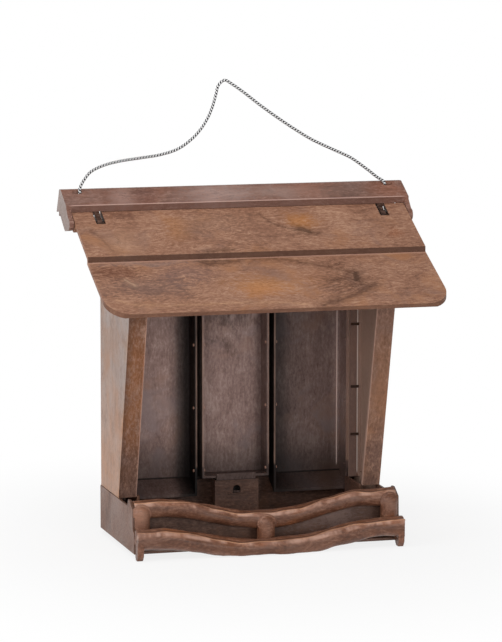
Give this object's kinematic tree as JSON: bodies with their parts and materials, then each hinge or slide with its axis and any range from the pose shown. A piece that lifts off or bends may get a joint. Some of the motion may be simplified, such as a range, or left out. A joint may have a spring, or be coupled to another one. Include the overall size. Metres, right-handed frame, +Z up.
{
  "type": "hopper bird feeder",
  "caption": "Flat-backed hopper bird feeder in wood-effect plastic, with a lifting stepped roof, a ridge cap on a cord, inner bays and a tray with log perch rails.",
  "frame": {"origin": "centre of the footprint at the level of the feet, under the middle of the body's depth; the hanging cord isn't counted", "axes": "+X to the right seen from the front, +Y towards the flat back, +Z up"},
  "size_m": [0.282, 0.1574, 0.3621],
  "materials": {
    "roof_brown": "mottled wood-effect moulding",
    "cap_brown": "mottled wood-effect moulding",
    "wall_brown": "wood-effect moulding with faint grain",
    "bay_brown": "dark moulding",
    "tray_brown": "wood-effect moulding with faint grain",
    "rail_brown": "satin log-like moulding",
    "steel": "plain",
    "cord_grey": "braided, black and grey-white"
  },
  "bodies": {
    "house": {"tray": "tray_brown", "latch_box": "tray_brown", "upper_rail": "rail_brown", "lower_rail": "rail_brown", "left_stub": "rail_brown", "centre_stub": "rail_brown", "right_stub": "rail_brown", "back_wall": "wall_brown", "left_bay": "bay_brown", "centre_bay": "bay_brown", "right_bay": "bay_brown", "snap_tongue": "bay_brown", "left_wall": "wall_brown", "right_wall": "wall_brown", "left_wall_clips": "bay_brown", "right_wall_clips": "bay_brown", "ridge_cap": "cap_brown", "cap_screws": "steel", "left_hinge_hook": "cap_brown", "right_hinge_hook": "cap_brown", "hanging_cord": "cord_grey", "left_cord_knot": "cord_grey", "right_cord_knot": "cord_grey"},
    "roof": {"roof_panel": "roof_brown", "left_hinge_bar": "steel", "right_hinge_bar": "steel", "left_pivot_pin": "steel", "right_pivot_pin": "steel"}
  },
  "joints": [
    {"name": "roof_hinge", "type": "hinge", "parent": "house", "child": "roof", "pos_m": [0, 0.0387, 0.2524], "axis": [-1, 0, 0], "range_deg": [0, 105]}
  ]
}
